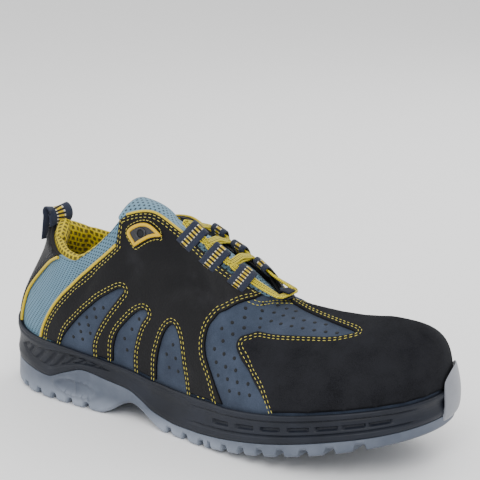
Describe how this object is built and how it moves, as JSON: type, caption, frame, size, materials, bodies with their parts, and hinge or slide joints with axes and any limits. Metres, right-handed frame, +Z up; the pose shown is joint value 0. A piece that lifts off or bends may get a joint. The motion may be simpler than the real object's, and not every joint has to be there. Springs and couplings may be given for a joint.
{
  "type": "safety sneaker",
  "caption": "Low safety sneaker for the right foot: hollow suede upper with leather side overlays, capped toe, webbing lace loops, padded collar and lugged sole.",
  "frame": {"origin": "centre of the shoe's bounding box in plan, on the plane the sole stands on", "axes": "+X towards the toe, +Y towards the inner (medial) side, +Z up"},
  "size_m": [0.3032, 0.1086, 0.1302],
  "materials": {
    "translucent_rubber": "grey-blue translucent rubber, satin",
    "navy_foam": "dark navy foam, satin",
    "insole_foam": "fabric-covered foam",
    "blue_grey_suede": "perforated suede",
    "black_suede": "napped suede",
    "black_leather": "smooth leather",
    "yellow_trim": "woven yellow trim",
    "light_blue_mesh": "open mesh over foam",
    "webbing": "striped webbing",
    "lace_yarn": "flat woven lace"
  },
  "bodies": {
    "root": {"outsole": "translucent_rubber", "midsole": "navy_foam", "insole": "insole_foam", "upper": "blue_grey_suede", "toe_cap": "black_suede", "quarter_overlay_lateral": "black_leather", "quarter_overlay_medial": "black_leather", "heel_strip": "black_leather", "heel_piping_lateral": "yellow_trim", "heel_piping_medial": "yellow_trim", "quarter_piping_lateral": "yellow_trim", "quarter_piping_medial": "yellow_trim", "eyelet_frame_lateral": "yellow_trim", "eyelet_frame_medial": "yellow_trim", "tongue": "light_blue_mesh", "lace_loop_lateral_1": "webbing", "lace_loop_lateral_2": "webbing", "lace_loop_lateral_3": "webbing", "lace_loop_medial_1": "webbing", "lace_loop_medial_2": "webbing", "lace_loop_medial_3": "webbing", "lace_loop_base": "webbing", "pull_loop": "webbing", "lace_v": "lace_yarn", "lace_cross_lower": "lace_yarn", "lace_cross_upper": "lace_yarn", "lace_top_bar": "lace_yarn"}
  },
  "joints": []
}
